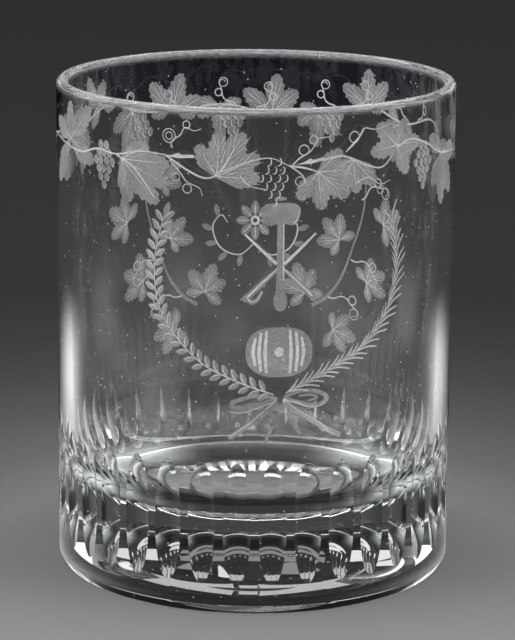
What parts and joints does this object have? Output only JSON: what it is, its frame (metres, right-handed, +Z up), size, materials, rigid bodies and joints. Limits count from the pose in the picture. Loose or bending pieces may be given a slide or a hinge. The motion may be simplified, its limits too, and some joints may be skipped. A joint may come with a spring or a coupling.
{
  "type": "glass beaker",
  "caption": "Straight-sided cylindrical glass beaker with a rounded rim, a thick solid base and a belt of hollow-cut flutes round the foot.",
  "frame": {"origin": "centre of the circle that the beaker stands on, at the level of the table", "axes": "+Z up along the beaker's axis, towards the rim; +Y away from the viewer of the front engraving, +X to that viewer's right"},
  "size_m": [0.09, 0.09, 0.112],
  "materials": {
    "clear_glass": "polished, with matt wheel engraving on the wall"
  },
  "bodies": {
    "root": {"beaker": "clear_glass"}
  },
  "joints": []
}
